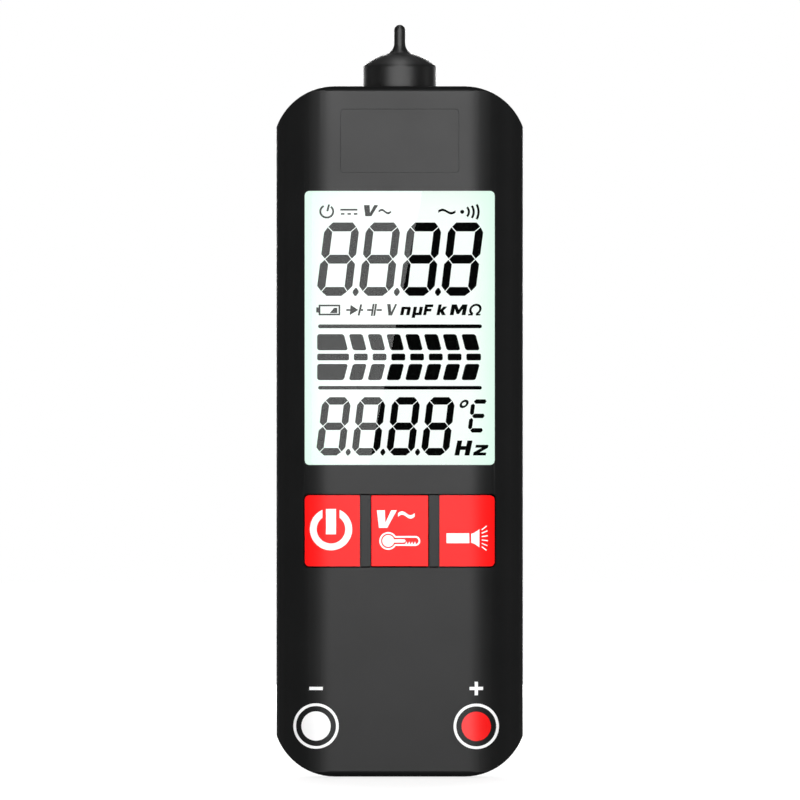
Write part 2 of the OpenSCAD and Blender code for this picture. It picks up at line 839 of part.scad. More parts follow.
// Half profile of the nose: cylinder, shoulder, dome, hollow and round tip
module nose_profile() {
    s_r = nose_r - shoulder_r;
    s_z = dome_z + sqrt(pow(dome_r - shoulder_r, 2) - pow(s_r, 2));
    grow = dome_r / (dome_r - shoulder_r);
    top = [s_r * grow, dome_z + (s_z - dome_z) * grow];
    f_r = tip_r + tip_fillet;
    f_z = dome_z + sqrt(pow(dome_r + tip_fillet, 2) - pow(f_r, 2));
    shrink = dome_r / (dome_r + tip_fillet);
    foot = [f_r * shrink, dome_z + (f_z - dome_z) * shrink];
    polygon([[0, flange_z1], [nose_r, flange_z1], [nose_r, s_z], [s_r, s_z], top, [0, top[1]]]);
    translate([s_r, s_z]) circle(shoulder_r);
    intersection() {
        translate([0, dome_z]) circle(dome_r);
        translate([0, flange_z1]) square([top[0], nose_h + over]);
    }
    difference() {
        polygon([[0, dome_z + dome_r / 2], foot, [f_r, f_z], [tip_r, f_z], [0, f_z]]);
        translate([f_r, f_z]) circle(tip_fillet);
    }
    translate([0, dome_z]) square([tip_r, tip_z - dome_z]);
    intersection() {
        translate([0, tip_z]) circle(tip_r);
        translate([0, tip_z - tip_r]) square([tip_r, 2 * tip_r]);
    }
}

module probe_nose() {
    flange_r = nose_r + nose_flange;
    color("#161719") rotate_extrude() difference() {
        union() {
            nose_profile();
            translate([0, flange_z0]) square([flange_r, nose_flange_t]);
            translate([0, flange_z1 - over]) square([nose_r, 2 * over]);
        }
        translate([0, flange_z0 - over]) square([hollow_r, hollow_z1 - flange_z0 + over]);
        translate([0, flange_z0]) square([rod_hole_r, rod_hole_z1 - flange_z0]);
    }
}

module sensing_rod() {
    plate_z1 = hollow_z1 - 2 * fit;
    foot_z = board_z1 - 3 * cradle_t;
    color("#c9a24a") {
        rod_z(0, 0, rod_r, foot_z, rod_hole_z1 - 2 * fit);
        rod_z(0, 0, hollow_r - 4 * fit, plate_z1 - rod_plate_t, plate_z1);
        block(-rod_r, rod_r, board_back + fit, 0, foot_z, foot_z + rod_plate_t);
    }
}

module torch_lamp() {
    top_z = body_h - 6 * fit;
    base_z = top_z - lamp_h;
    leg_r = 0.17 * lamp_r;
    leg_x = 0.7 * lamp_r;
    leg_z = board_z1 - cradle_t;
    color("#f4f6f0") {
        rod_z(lamp_x, 0, lamp_r, base_z, top_z - lamp_r / 3);
        intersection() {
            translate([lamp_x, 0, top_z - lamp_r]) sphere(lamp_r);
            rod_z(lamp_x, 0, lamp_r, top_z - lamp_r, top_z);
        }
        rod_z(lamp_x, 0, collar_r, base_z, base_z + lamp_r / 2);
        for (s = [-1, 1]) {
            rod_z(lamp_x + s * leg_x, 0, leg_r, leg_z, base_z + fit);
            rod_y(lamp_x + s * leg_x, leg_z + leg_r, leg_r, board_back + fit, leg_r);
        }
    }
}

module buzzer() {
    port_r = 0.2 * buzzer_r;
    y1 = board_back + fit + buzzer_h;
    color("#202022") difference() {
        rod_y(buzzer_x, buzzer_z, buzzer_r, board_back + fit, y1);
        rod_y(buzzer_x, buzzer_z, port_r, y1 - buzzer_h / 2, y1 + over);
    }
}

module measuring_chip() {
    x0 = buzzer_r / 2;
    z0 = buzzer_z - buzzer_r;
    lead_w = 0.4;
    lead_y = board_back + fit;
    lead_count = 8;
    color("#2a2a2c") {
        block(x0, x0 + chip_w, lead_y + fit, lead_y + fit + chip_t, z0, z0 + chip_w);
        for (i = [1:lead_count], s = [0, 1]) {
            at = i * chip_w / (lead_count + 1) - lead_w / 2;
            near = s * chip_w - lead_w * 2;
            block(x0 + at, x0 + at + lead_w, lead_y, lead_y + lead_w / 2,
                z0 + near, z0 + near + 4 * lead_w);
            block(x0 + near, x0 + near + 4 * lead_w, lead_y, lead_y + lead_w / 2,
                z0 + at, z0 + at + lead_w);
        }
    }
}

// Disc on the board above the chip
module thermistor() {
    disc_r = 0.45 * buzzer_r;
    disc_t = 2.4;
    x = disc_r + 1.5 * wall;
    z = buzzer_z + buzzer_r + disc_r;
    color("#c8862e") rod_y(x, z, disc_r, board_back + fit, board_back + fit + disc_t);
}

module input_resistors() {
    r = 1.3;
    len = 9;
    lead_r = 0.3;
    x = (well_out + inner_x) / 2;
    y = board_back + fit + r;
    z0 = low_boss[1] + boss_r + r;
    color("#7fa7b5") for (s = [-1, 1]) {
        rod_z(s * x, y, r, z0, z0 + len);
        rod_z(s * x, y, lead_r, z0 - r, z0 + len + r);
        for (z = [z0 - r + lead_r, z0 + len + r - lead_r])
            rod_y(s * x, z, lead_r, board_back + fit, y + lead_r);
    }
}

front_case();
rear_case();
battery_door();
case_screws();
window_pane();
front_glass();
rear_glass();
display_frame();
light_guide();
contact_strip();
main_board();
power_key();
alert_key();
select_key();
power_stem();
alert_stem();
select_stem();
key_switches();
jack_block();
common_socket();
input_socket();
left_cell();
right_cell();
bridge_contact();
plus_contact();
minus_contact();
battery_springs();
probe_nose();
sensing_rod();
torch_lamp();
buzzer();
measuring_chip();
thermistor();
input_resistors();
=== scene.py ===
"""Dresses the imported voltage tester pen: smooth cases, display artwork, prints, finishes and a studio."""

import logging
import math
from collections.abc import Callable, Sequence
from dataclasses import dataclass, field
from enum import Enum

import bmesh
import bpy
from bmesh.types import BMEdge, BMesh, BMVert
from bpy.types import Material, Node, NodeOutputs, NodeSocket, NodeTree, Object
from mathutils import Matrix, Quaternion, Vector


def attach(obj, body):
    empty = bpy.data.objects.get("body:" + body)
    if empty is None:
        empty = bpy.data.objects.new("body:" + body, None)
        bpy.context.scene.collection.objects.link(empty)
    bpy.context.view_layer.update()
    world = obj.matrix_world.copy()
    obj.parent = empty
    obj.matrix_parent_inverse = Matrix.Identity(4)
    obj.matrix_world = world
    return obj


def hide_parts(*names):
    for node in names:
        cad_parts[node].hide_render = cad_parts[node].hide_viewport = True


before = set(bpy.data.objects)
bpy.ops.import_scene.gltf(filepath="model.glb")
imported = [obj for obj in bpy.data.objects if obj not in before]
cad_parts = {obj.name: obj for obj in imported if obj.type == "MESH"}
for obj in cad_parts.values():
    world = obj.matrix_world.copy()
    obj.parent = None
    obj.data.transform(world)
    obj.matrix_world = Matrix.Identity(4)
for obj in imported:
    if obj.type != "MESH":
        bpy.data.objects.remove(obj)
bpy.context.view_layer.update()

Pair = tuple[float, float]
Triple = tuple[float, float, float]

MM = 0.001
# Thickness of a print, in millimetres
INK = 0.006
# Angle in degrees from which an edge is rounded
SHARP = 34.0
# Widest rounding of an edge, as a share of the narrowest face beside its chain
ROOM_SHARE = 0.2
# Distance in millimetres and turn in degrees below which points and faces of a CAD mesh are one
SAME_POINT, SAME_FACE = 0.002, 0.4
# Distance in millimetres below which points of a drawing are one or lie on a cut
JOIN_REACH, CUT_REACH = 1e-5, 1e-6
WHITE = (1.0, 1.0, 1.0, 1.0)
SMOOTH = {"interpolation_type": "SMOOTHSTEP"}
# Socket types of a node group, by the number of values in a socket
SOCKETS = {1: "NodeSocketFloat", 3: "NodeSocketVector", 4: "NodeSocketColor"}
# Places that the lights face, and the pieces that the rear cards are kept to
BODY_MIDDLE, NOSE_MIDDLE = (0.0, 0.0, 0.06), (0.0, 0.0, 0.122)
BACK_PIECES = ("rear_shell", "door_leaf", "screw_set")
log = logging.getLogger("tester_pen")

# Outlines of the unit marks, upright, in hundredths of their box
MARKS: dict[str, tuple[Pair, ...]] = {
    "V": ((0, 100), (40, 100), (43, 30), (72, 100), (100, 100), (52, 0), (10, 0)),
    "v": ((0, 100), (34, 100), (42, 30), (80, 100), (100, 100), (48, 0), (13, 0)),
    "n": ((0, 0), (0, 100), (88, 100), (100, 86), (100, 0), (64, 0), (64, 70), (36, 70), (36, 0)),
    "u": (
        (0, -32), (0, 100), (36, 100), (36, 30), (64, 30), (64, 100), (100, 100), (100, 0), (36, 0),
        (36, -32),
    ),
    "F": (
        (0, 0), (0, 100), (100, 100), (100, 74), (37, 74), (37, 60), (88, 60), (88, 35), (37, 35), (37, 0),
    ),
    "k": (
        (0, 0), (0, 100), (35, 100), (35, 55), (58, 80), (100, 80), (65, 43), (100, 0), (58, 0), (35, 30),
        (35, 0),
    ),
    "M": (
        (0, 0), (0, 100), (32, 100), (50, 52), (68, 100), (100, 100), (100, 0), (75, 0), (75, 58), (57, 10),
        (43, 10), (25, 58), (25, 0),
    ),
    "H": (
        (0, 0), (0, 100), (33, 100), (33, 63), (67, 63), (67, 100), (100, 100), (100, 0), (67, 0), (67, 37),
        (33, 37), (33, 0),
    ),
    "z": ((0, 0), (0, 30), (55, 73), (6, 73), (6, 100), (100, 100), (100, 72), (46, 28), (96, 28), (96, 0)),
}


class Body(Enum):
    """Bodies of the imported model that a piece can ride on."""

    HOUSING = "housing"
    POWER_KEY = "power_key"
    ALERT_KEY = "alert_key"
    SELECT_KEY = "select_key"
    DOOR = "battery_door"


class Slot(Enum):
    """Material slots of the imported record."""

    CASE = "case"
    DOOR = "door"
    SCREW = "screw"
    PANE = "pane"
    KEY = "key_red"
    WHITE = "frame_white"
    BLACK = "stem"
    NOSE = "nose"
    INSULATOR = "insulator"
    BRASS = "brass"
    LAMP = "lamp"


class NodeBench:
    """Adds and joins the nodes of one node tree."""

    def __init__(self, tree: NodeTree) -> None:
        """Keeps the tree of a material, a world or a node group."""
        self.tree = tree

    def add(self, kind: str, **values: object) -> Node:
        """Adds a node.

        Args:
            kind: Type name of the node, without ShaderNode.
            values: Attributes of the node.

        Returns:
            The new node.
        """
        node = self.tree.nodes.new(f"ShaderNode{kind}")
        for name, value in values.items():
            setattr(node, name, value)
        return node

    def feed(self, node: Node, **inputs: object) -> Node:
        """Sets or links inputs of a node, where _ in a name stands for a space, and i3 for the fourth input.

        Args:
            node: Node that has the inputs.
            inputs: A value, or the socket that is linked, for each input.

        Returns:
            The same node.
        """
        for name, value in inputs.items():
            key = int(name[1:]) if name[0] == "i" and name[1:].isdigit() else name.replace("_", " ")
            if isinstance(value, NodeSocket):
                self.tree.links.new(value, node.inputs[key])
            else:
                node.inputs[key].default_value = value
        return node

    def make(self, kind: str, values: dict[str, object], **inputs: object) -> NodeSocket:
        """Adds a node with its attributes, feeds its inputs and gives its first output."""
        return self.feed(self.add(kind, **values), **inputs).outputs[0]

    def group(self, tree: NodeTree, **inputs: object) -> NodeSocket:
        """Adds a node group, feeds its inputs and gives its output."""
        return self.make("Group", {"node_tree": tree}, **inputs)

    def math(self, operation: str, first: object, second: object = 0.0) -> NodeSocket:
        """Adds a Math node for two values or sockets and gives its result."""
        return self.make("Math", {"operation": operation}, i0=first, i1=second)

    def blend(self, share: object, first: object, second: object) -> NodeSocket:
        """Adds a Mix node for two colours and a share of the second, and gives the mixed colour."""
        mixed = self.add("Mix", data_type="RGBA")
        return self.feed(mixed, i0=share, i6=first, i7=second).outputs[2]

    def place(self) -> NodeSocket:
        """Adds Object coordinates."""
        return self.add("TexCoord").outputs["Object"]

    def noise(self, scale: object, detail: float, place: NodeSocket | None = None) -> NodeSocket:
        """Adds noise with its scale in cells a metre, on the given coordinates or on Object ones."""
        return self.make("TexNoise", {}, Vector=place or self.place(), Scale=scale, Detail=detail)

    def plain_sight(self) -> NodeSocket:
        """Tells the rays that look straight at the surroundings, through glass too, from all others.

        Returns:
            The socket, which is 1 for such rays.
        """
        path = self.add("LightPath")
        direct = self.math("LESS_THAN", path.outputs["Glossy Depth"], 0.5)
        through = self.math("MULTIPLY", direct, path.outputs["Is Transmission Ray"])
        return self.math("MAXIMUM", path.outputs["Is Camera Ray"], through)


class ShopGroups:
    """Shader node groups that several finishes share."""

    def __init__(self) -> None:
        """Builds every group once."""
        self.grain = self._grain()
        self.mottle = self._mottle()
        self.smudge = self._smudge()
        self.edge_fade = self._edge_fade()

    @staticmethod
    def _open(name: str, output: str, **inputs: object) -> tuple[NodeBench, NodeOutputs, Node]:
        """Starts a group.

        Args:
            name: Name of the group.
            output: Name of its output, which is a colour if it is called Color.
            inputs: Default of each input, where _ in a name stands for a space.

        Returns:
            The bench of the group, the sockets of its inputs and its output node.
        """
        tree = bpy.data.node_groups.new(name, "ShaderNodeTree")
        for label, value in inputs.items():
            kind = SOCKETS[len(value) if isinstance(value, tuple) else 1]
            socket = tree.interface.new_socket(label.replace("_", " "), in_out="INPUT", socket_type=kind)
            socket.default_value = value
        kind = SOCKETS[4 if output == "Color" else 1]
        tree.interface.new_socket(output, in_out="OUTPUT", socket_type=kind)
        return NodeBench(tree), tree.nodes.new("NodeGroupInput").outputs, tree.nodes.new("NodeGroupOutput")

    def _grain(self) -> NodeTree:
        """Builds the fine grain of a mould or of drawn metal as a height.

        Returns:
            The group.
        """
        bench, given, result = self._open("fine_grain", "Height", Scale=4000.0, Stretch=(1.0, 1.0, 1.0))
        stretched = bench.make("Mapping", {}, Vector=bench.place(), Scale=given["Stretch"])
        fine = bench.noise(given["Scale"], 2.0, stretched)
        coarse = bench.noise(bench.math("MULTIPLY", given["Scale"], 0.2), 1.0)
        mixed = bench.make("Mix", {"data_type": "FLOAT"}, i0=0.3, i2=fine, i3=coarse)
        bench.feed(result, Height=mixed)
        return bench.tree

    def _mottle(self) -> NodeTree:
        """Builds a slow change between two near colours.

        Returns:
            The group.
        """
        bench, given, result = self._open("colour_mottle", "Color", Deep=WHITE, Pale=WHITE, Scale=120.0)
        noise = bench.noise(given["Scale"], 3.0)
        share = bench.make("MapRange", {}, Value=noise, From_Min=0.35, From_Max=0.65)
        bench.feed(result, Color=bench.blend(share, given["Deep"], given["Pale"]))
        return bench.tree

    def _smudge(self) -> NodeTree:
        """Builds the uneven roughness of a handled surface.

        Returns:
            The group.
        """
        bench, given, result = self._open("handled_smudge", "Roughness", Low=0.3, High=0.4, Scale=90.0)
        noise = bench.noise(given["Scale"], 4.0)
        rough = bench.make(
            "MapRange", {}, Value=noise, From_Min=0.3, From_Max=0.7,
            To_Min=given["Low"], To_Max=given["High"],
        )
        bench.feed(result, Roughness=rough)
        return bench.tree

    def _edge_fade(self) -> NodeTree:
        """Builds a mask that rises from 0 in the middle of a rectangle to 1 at its edges.

        Returns:
            The group.
        """
        bench, given, result = self._open(
            "edge_fade", "Mask", Half_Width=0.016, Half_Height=0.023, Centre_Height=0.0763, Start=0.6
        )
        place = bench.add("SeparateXYZ")
        bench.feed(place, Vector=bench.place())
        across = bench.math("DIVIDE", bench.math("ABSOLUTE", place.outputs[0]), given["Half Width"])
        rise = bench.math("SUBTRACT", place.outputs[2], given["Centre Height"])
        along = bench.math("DIVIDE", bench.math("ABSOLUTE", rise), given["Half Height"])
        nearest = bench.math("SMOOTH_MAX", across, along)
        mask = bench.make("MapRange", SMOOTH, Value=nearest, From_Min=given["Start"])
        bench.feed(result, Mask=mask)
        return bench.tree


@dataclass(frozen=True)
class Finish:
    """Finish that builds a material of its name."""

    name: str

    def build(self, groups: ShopGroups) -> Material:
        """Builds the material.

        Args:
            groups: The shared node groups.

        Returns:
            The material.
        """
        material = bpy.data.materials.new(self.name)
        material.use_nodes = True
        tree = material.node_tree
        self.dress(NodeBench(tree), tree.nodes["Principled BSDF"], groups)
        return material

    def dress(self, bench: NodeBench, shader: Node, groups: ShopGroups) -> None:
        """Feeds the surface shader of the material."""
        raise NotImplementedError


@dataclass(frozen=True)
class Grained(Finish):
    """Plastic, print or ceramic: near colours, uneven roughness and a grain, its relief in millimetres."""

    deep: Triple
    pale: Triple
    rough: Pair
    grain: float = 4000.0
    relief: float = 0.006
    stretch: Triple = (1.0, 1.0, 1.0)
    level: float = 0.5
    coat: float = 0.0
    metallic: float = 0.0

    def dress(self, bench: NodeBench, shader: Node, groups: ShopGroups) -> None:
        """Feeds colour, roughness and grain to the surface shader.

        Args:
            bench: Bench of the material.
            shader: The surface shader.
            groups: The shared node groups.
        """
        mottle = bench.group(groups.mottle, Deep=(*self.deep, 1.0), Pale=(*self.pale, 1.0))
        smudge = bench.group(groups.smudge, Low=self.rough[0], High=self.rough[1])
        grain = bench.group(groups.grain, Scale=self.grain, Stretch=self.stretch)
        bump = bench.make("Bump", {}, Height=grain, Strength=0.5, Distance=self.relief * MM)
        bench.feed(
            shader, Base_Color=mottle, Roughness=smudge, Normal=bump, Specular_IOR_Level=self.level,
            Coat_Weight=self.coat, Coat_Roughness=0.1, Metallic=self.metallic,
        )


@dataclass(frozen=True)
class Metal(Grained):
    """Drawn or stamped metal with fine lines along the Z axis."""

    grain: float = 5000.0
    relief: float = 0.004
    stretch: Triple = (1.0, 1.0, 0.08)
    metallic: float = 1.0


@dataclass(frozen=True)
class ClearPane(Finish):
    """Clear moulded window with faint wipe marks."""

    ior: float
    rough: Pair
    tint: Triple = (0.98, 1.0, 0.99)

    def dress(self, bench: NodeBench, shader: Node, groups: ShopGroups) -> None:
        """Feeds tint, wipe marks and clearness to the surface shader."""
        smudge = bench.group(groups.smudge, Low=self.rough[0], High=self.rough[1], Scale=60.0)
        bench.feed(
            shader, Base_Color=(*self.tint, 1.0), Roughness=smudge, IOR=self.ior, Transmission_Weight=1.0
        )


@dataclass(frozen=True)
class LitDisplay(Finish):
    """Display glass lit from behind, white in the middle and pale green towards its edges, in metres."""

    middle: Triple
    edge: Triple
    strength: float
    half_width: float
    half_height: float
    centre_height: float

    def dress(self, bench: NodeBench, shader: Node, groups: ShopGroups) -> None:
        """Feeds the glow and a faint grain to the surface shader.

        Args:
            bench: Bench of the material.
            shader: The surface shader.
            groups: The shared node groups.
        """
        fade = bench.group(
            groups.edge_fade, Half_Width=self.half_width, Half_Height=self.half_height,
            Centre_Height=self.centre_height, Start=0.7,
        )
        glow = bench.blend(fade, (*self.middle, 1.0), (*self.edge, 1.0))
        grain = bench.group(groups.grain)
        bump = bench.make("Bump", {}, Height=grain, Strength=0.1, Distance=0.00001)
        bench.feed(
            shader, Base_Color=(0.05, 0.06, 0.055, 1.0), Roughness=0.5, Emission_Color=glow,
            Emission_Strength=self.strength, Normal=bump,
        )


@dataclass(frozen=True)
class FloorPaint(Finish):
    """Paint that is white to the camera, with a soft shadow near the object, in metres."""

    reach: Pair = (0.05, 0.45)
    glow: Pair = (0.8, 1.0)

    def dress(self, bench: NodeBench, shader: Node, groups: ShopGroups) -> None:
        """Feeds the paint and its glow to the surface shader.

        Args:
            bench: Bench of the material.
            shader: The surface shader.
            groups: Not used.
        """
        away = bench.add("VectorMath", operation="LENGTH")
        bench.feed(away, Vector=bench.place())
        ramp = bench.make(
            "MapRange", SMOOTH, Value=away.outputs["Value"], From_Min=self.reach[0],
            From_Max=self.reach[1], To_Min=self.glow[0], To_Max=self.glow[1],
        )
        bench.feed(
            shader, Base_Color=(0.25, 0.25, 0.25, 1.0), Roughness=0.9, Specular_IOR_Level=0.1,
            Emission_Color=WHITE, Emission_Strength=bench.math("MULTIPLY", bench.plain_sight(), ramp),
        )


class Finishes:
    """All finishes of the tester, by name."""

    def __init__(self) -> None:
        """Builds the shared groups and every material."""
        groups = ShopGroups()
        kinds = (
            Grained(
                "case_plastic", (0.0042, 0.0044, 0.0045), (0.0054, 0.0056, 0.0057), (0.48, 0.51), level=0.28
            ),
            Grained("nose_plastic", (0.004, 0.004, 0.004), (0.005, 0.005, 0.005), (0.4, 0.44), relief=0.002),
            Grained("key_plastic", (0.92, 0.0025, 0.0025), (0.97, 0.0045, 0.004), (0.48, 0.51), level=0.25),
            Grained("white_print", (0.9, 0.9, 0.9), (0.96, 0.96, 0.96), (0.4, 0.5), relief=0.002),
            Grained("red_print", (0.86, 0.003, 0.003), (0.93, 0.005, 0.005), (0.3, 0.36), relief=0.002),
            Grained(
                "segment_ink", (0.001, 0.0015, 0.0012), (0.002, 0.0025, 0.002), (0.5, 0.6),
                relief=0.001, level=0.0,
            ),
            Grained("frame_plastic", (0.75, 0.76, 0.75), (0.82, 0.83, 0.82), (0.4, 0.5)),
            # Near-black material that paints the shade of the groove over the bars between the keys
            Grained("painted_groove_shade", (0.001, 0.001, 0.001), (0.002, 0.002, 0.002), (0.7, 0.8), level=0.05),
            Grained("black_plastic", (0.008, 0.008, 0.009), (0.012, 0.012, 0.013), (0.4, 0.5)),
            Grained("strip_rubber", (0.5, 0.25, 0.3), (0.6, 0.32, 0.38), (0.6, 0.7)),
            Grained(
                "board_lacquer", (0.005, 0.07, 0.03), (0.01, 0.12, 0.05), (0.25, 0.35), 1500.0, 0.02, coat=0.3
            ),
            Grained("cell_wrap", (0.32, 0.19, 0.05), (0.4, 0.25, 0.08), (0.25, 0.32), coat=0.4),
            Grained("thermistor_glaze", (0.5, 0.16, 0.02), (0.62, 0.22, 0.04), (0.3, 0.4)),
            Grained("resistor_glaze", (0.12, 0.3, 0.38), (0.18, 0.4, 0.48), (0.3, 0.4)),
            Metal("brass", (0.6, 0.38, 0.12), (0.72, 0.48, 0.18), (0.2, 0.3)),
            Metal("spring_steel", (0.5, 0.5, 0.5), (0.64, 0.64, 0.63), (0.25, 0.35)),
            Metal("screw_steel", (0.16, 0.16, 0.165), (0.24, 0.24, 0.25), (0.3, 0.4)),
            ClearPane("window_plastic", 1.45, (0.0, 0.004)),
            ClearPane("lamp_resin", 1.5, (0.02, 0.06), (0.95, 0.97, 0.95)),
            LitDisplay("lit_glass", (0.97, 1.0, 0.985), (0.78, 1.0, 0.88), 1.03, 0.0163, 0.028, 0.0763),
            FloorPaint("floor_paint"),
        )
        self._made = {kind.name: kind.build(groups) for kind in kinds}

    def __getitem__(self, name: str) -> Material:
        """Gives a material by its name."""
        return self._made[name]


class Bench:
    """Turns finished shapes into pieces that ride on the frame."""

    def __init__(self, finishes: Finishes) -> None:
        """Keeps all finishes of the tester."""
        self.finishes = finishes

    def piece(
        self, name: str, shape: BMesh, finish: str, slot: Slot, body: Body = Body.HOUSING,
        replaces: Sequence[str] = (), crease: float = 32.0,
    ) -> Object:
        """Makes an object of a shape, with its place in its mesh.

        Args:
            name: Name of the piece.
            shape: The finished shape, which is freed.
            finish: Name of the finish.
            slot: Material slot of the record; not used.
            body: Body that the piece rides on.
            replaces: CAD nodes that the piece stands for.
            crease: Angle in degrees above which an edge stays sharp.

        Returns:
            The new object.
        """
        mesh = bpy.data.meshes.new(name)
        shape.to_mesh(mesh)
        shape.free()
        mesh.materials.append(self.finishes[finish])
        mesh.shade_smooth()
        mesh.set_sharp_from_angle(angle=math.radians(crease))
        made = bpy.data.objects.new(name, mesh)
        bpy.context.scene.collection.objects.link(made)
        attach(made, body.value)
        if replaces:
            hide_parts(*replaces)
        log.info("%s: %d faces on %s", name, len(mesh.polygons), body.value)
        return made

    def softened(
        self, node: str, name: str, finish: str, slot: Slot, width: float, body: Body = Body.HOUSING
    ) -> Object:
        """Stands for a CAD node with a copy whose sharp edges are rounded.

        Args:
            node: The CAD node.
            name: Name of the piece.
            finish: Name of the finish.
            slot: Material slot of the record.
            width: Width of the rounding in millimetres.
            body: Body that the piece rides on.

        Returns:
            The new object.
        """
        shape = node_shape(node)
        for chain in sharp_chains(shape):
            room = min(face.calc_area() / edge.calc_length() for edge in chain for face in edge.link_faces)
            bmesh.ops.bevel(
                shape, geom=chain, offset=min(width * MM, ROOM_SHARE * room), offset_type="OFFSET",
                affect="EDGES", segments=2, profile=0.5, material=-1, clamp_overlap=True, loop_slide=True,
            )
        made = self.piece(name, shape, finish, slot, body, [node], crease=50.0)
        made.modifiers.new("even_shading", "WEIGHTED_NORMAL").keep_sharp = True
        return made


def sharp_chains(shape: BMesh) -> list[list[BMEdge]]:
    """Groups the sharp edges that share a corner, in the order of the mesh.

    A chain is rounded by itself, so one tight spot doesn't narrow the rounding of the whole piece.

    Args:
        shape: The mesh.

    Returns:
        The chains.
    """
    for edge in shape.edges:
        edge.tag = edge.is_manifold and edge.calc_face_angle(0.0) > math.radians(SHARP)
    chains = []
    for first in shape.edges:
        if not first.tag:
            continue
        first.tag = False
        chain = [first]
        for edge in chain:
            for other in (near for vert in edge.verts for near in vert.link_edges):
                if other.tag:
                    other.tag = False
                    chain.append(other)
        chains.append(chain)
    return chains


def node_shape(node: str) -> BMesh:
    """Copies the mesh of a CAD node, with its points joined and its flat faces whole.

    Args:
        node: The CAD node.

    Returns:
        The copy.
    """
    shape = bmesh.new()
    shape.from_mesh(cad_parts[node].data)
    bmesh.ops.remove_doubles(shape, verts=shape.verts, dist=SAME_POINT * MM)
    bmesh.ops.dissolve_limit(
        shape, angle_limit=math.radians(SAME_FACE), verts=shape.verts, edges=shape.edges,
        use_dissolve_boundaries=False,
    )
    return shape


class Artwork:
    """Flat drawing in X and Z, in millimetres, that becomes a thin print on a surface."""

    def __init__(self) -> None:
        """Starts an empty drawing."""
        self.shape = bmesh.new()

    def polygon(self, points: Sequence[Pair], soft: float = 0.0) -> None:
        """Draws a face through a few points.

        Args:
            points: Corners in order.
            soft: Radius of the corners.
        """
        corners = [self.shape.verts.new((x, 0.0, z)) for x, z in points]
        self.shape.faces.new(corners)
        if soft > 0.0:
            bmesh.ops.bevel(
                self.shape, geom=corners, offset=soft, offset_type="OFFSET", affect="VERTICES",
                segments=4, profile=0.5, material=-1, clamp_overlap=True,
            )

    def bar(self, x0: float, x1: float, z0: float, z1: float, soft: float = 0.0) -> None:
        """Draws a rectangle between two sides and two heights, with the radius of its corners."""
        self.polygon([(x0, z0), (x1, z0), (x1, z1), (x0, z1)], soft)

    def disc(self, x: float, z: float, radius: float, segments: int = 48) -> None:
        """Draws a disc round a centre, in a number of steps."""
        place = Matrix.Translation((x, 0.0, z)) @ Matrix.Rotation(math.pi / 2, 4, "X")
        bmesh.ops.create_circle(self.shape, cap_ends=True, segments=segments, radius=radius, matrix=place)

    def arc(
        self, x: float, z: float, inner: float, outer: float, start: float = 0.0, end: float = 360.0,
        steps: int = 64,
    ) -> None:
        """Draws a ring or a part of one, turning from the right towards the top.

        Args:
            x: Centre across.
            z: Centre upwards.
            inner: Inner radius.
            outer: Outer radius.
            start: First angle in degrees.
            end: Last angle in degrees.
            steps: Steps of the turn.
        """
        a = math.radians(start)
        ends = [
            self.shape.verts.new((x + r * math.cos(a), 0.0, z + r * math.sin(a))) for r in (inner, outer)
        ]
        edge = self.shape.edges.new(ends)
        bmesh.ops.spin(
            self.shape, geom=[*ends, edge], cent=(x, 0.0, z), axis=(0.0, -1.0, 0.0), dvec=(0.0, 0.0, 0.0),
            angle=math.radians(end - start), steps=steps, use_merge=abs(end - start) >= 360.0,
            use_duplicate=False,
        )

    def wave(self, x0: float, x1: float, z: float, swing: float, thick: float) -> None:
        """Draws one period of a wavy stroke.

        Args:
            x0: Left end.
            x1: Right end.
            z: Middle height.
            swing: Height of the wave above and below its middle.
            thick: Thickness of the stroke.
        """
        made = bmesh.ops.create_grid(self.shape, x_segments=20, y_segments=1, size=0.5)["verts"]
        for point in made:
            share = point.co.x + 0.5
            height = z + swing * math.sin(2 * math.pi * share) + thick * point.co.y
            point.co = (x0 + (x1 - x0) * share, 0.0, height)

    def mark(self, name: str, x0: float, x1: float, z0: float, z1: float, slant: float = 0.2) -> None:
        """Draws a unit mark that fills a box.

        Args:
            name: Name of the outline.
            x0: Left end of the mark's foot.
            x1: Right end of its top.
            z0: Lower edge.
            z1: Upper edge.
            slant: Sideways lean a unit of height.
        """
        high = z1 - z0
        wide = x1 - x0 - slant * high
        outline = [(u / 100, v / 100) for u, v in MARKS[name]]
        self.polygon([(x0 + wide * u + slant * high * v, z0 + high * v) for u, v in outline])

    def omega(self, x: float, z: float, radius: float, slant: float) -> None:
        """Draws the resistance mark.

        Args:
            x: Centre across.
            z: Centre of its round part.
            radius: Outer radius of that part.
            slant: Sideways lean a unit of height.
        """
        known = len(self.shape.verts)
        turn = math.radians(52.0)
        inner, floor, step, heel = 0.62 * radius, -1.04 * radius, -0.74 * radius, 0.24 * radius
        self.arc(0.0, 0.0, inner, radius, -52.0, 232.0, 30)
        joint = [(r * math.cos(turn), -r * math.sin(turn)) for r in (radius, inner)]
        for side in (-1.0, 1.0):
            foot = [(heel, floor), (radius, floor), (radius, step), *joint, (heel, -0.6 * radius)]
            self.polygon([(side * px, pz) for px, pz in foot])
        self.lean(known, slant, (x, z))

    def split(self, x: float) -> None:
        """Cuts the faces along the upright line at a place across."""
        geom = [*self.shape.verts, *self.shape.edges, *self.shape.faces]
        bmesh.ops.bisect_plane(
            self.shape, geom=geom, dist=CUT_REACH, plane_co=(x, 0.0, 0.0), plane_no=(1.0, 0.0, 0.0)
        )

    def clear(self, x0: float, x1: float, z0: float) -> None:
        """Takes away what lies between two upright lines above a height.

        Args:
            x0: Left line.
            x1: Right line.
            z0: The height.
        """
        self.split(x0)
        self.split(x1)
        inside = [
            f for f in self.shape.faces
            if x0 < f.calc_center_median().x < x1 and f.calc_center_median().z > z0
        ]
        bmesh.ops.delete(self.shape, geom=inside, context="FACES")

